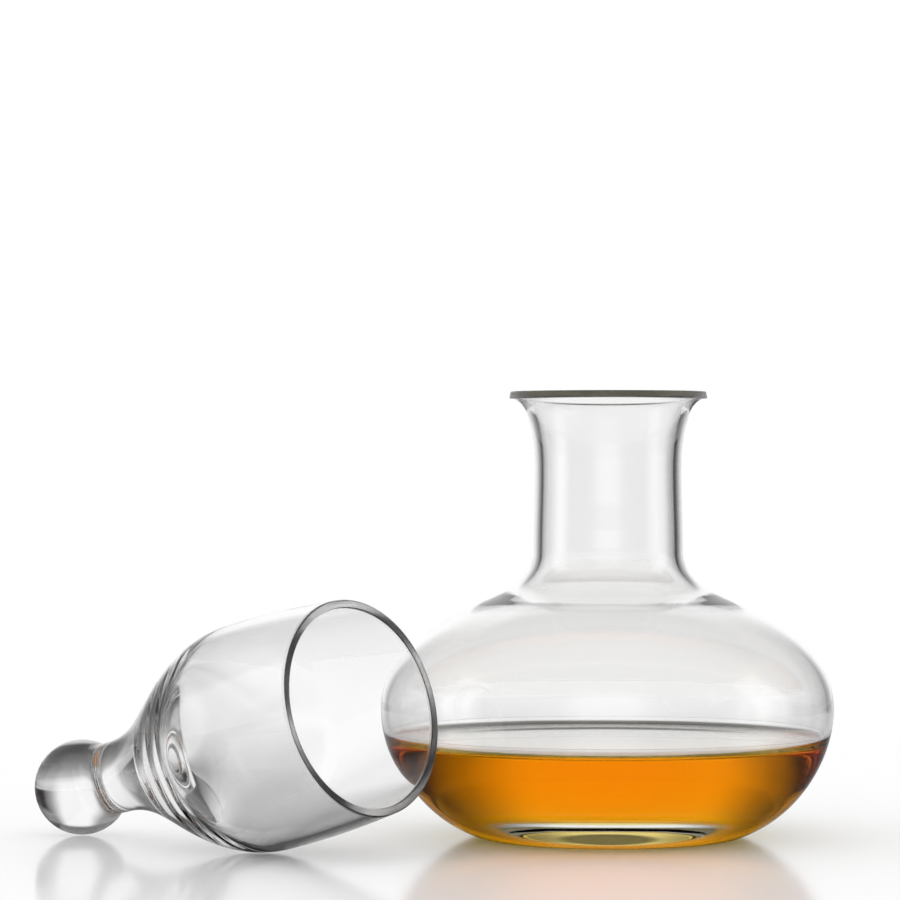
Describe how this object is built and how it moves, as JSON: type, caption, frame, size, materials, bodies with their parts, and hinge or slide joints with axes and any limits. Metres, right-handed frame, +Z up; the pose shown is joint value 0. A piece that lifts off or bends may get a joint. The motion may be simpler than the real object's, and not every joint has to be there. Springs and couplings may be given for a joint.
{
  "type": "schnapps carafe with drinking glass",
  "caption": "Squat blown-glass carafe with a narrow flared neck, part filled with amber drink, and a ball-footed drinking glass lying on its side next to it.",
  "frame": {"origin": "centre of the carafe's flat base, on the table", "axes": "+Z up along the carafe's axis, +X along the table from the lying glass towards the carafe, +Y away from the viewer"},
  "size_m": [0.2062, 0.14, 0.1145],
  "materials": {
    "carafe_glass": "clear blown glass, fire-polished",
    "amber_drink": "clear amber liquid with a still surface",
    "bowl_glass": "clear blown glass, fire-polished",
    "knob_glass": "clear solid glass, fire-polished"
  },
  "bodies": {
    "carafe": {"carafe": "carafe_glass", "drink": "amber_drink"},
    "glass": {"glass_bowl": "bowl_glass", "ball_knob": "knob_glass"}
  },
  "joints": [
    {"name": "glass_lift", "type": "slide", "parent": "carafe", "child": "glass", "axis": [0, 0, 1], "range_m": [0, 0.15]}
  ]
}
